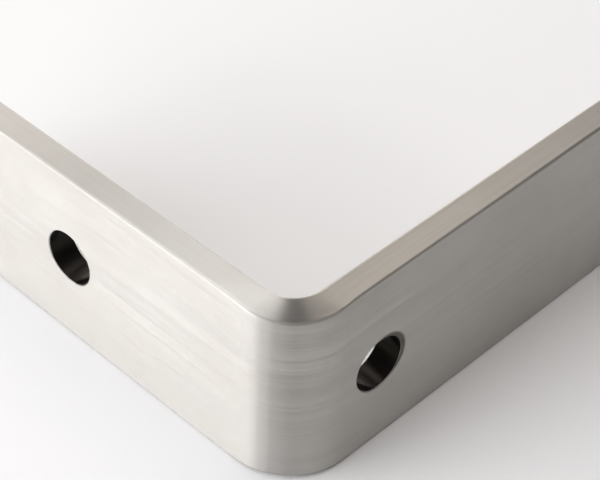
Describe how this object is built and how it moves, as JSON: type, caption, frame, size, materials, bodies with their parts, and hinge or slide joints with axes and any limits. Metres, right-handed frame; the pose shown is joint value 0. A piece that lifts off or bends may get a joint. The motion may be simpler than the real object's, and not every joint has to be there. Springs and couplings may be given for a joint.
{
  "type": "l-shaped shelf bracket",
  "caption": "L-shaped shelf bracket, bent from flat brushed steel bar, with a plain screw hole through each arm.",
  "frame": {"origin": "under the middle of the bracket's outer box, at the level of the long edge it stands on", "axes": "+X along the wall arm away from the bend, +Y along the shelf arm away from the bend, +Z across the bar's width"},
  "size_m": [0.1, 0.1, 0.035],
  "materials": {
    "bar": "brushed along the bar, with softened edges"
  },
  "bodies": {
    "root": {"shelf_bracket": "bar"}
  },
  "joints": []
}
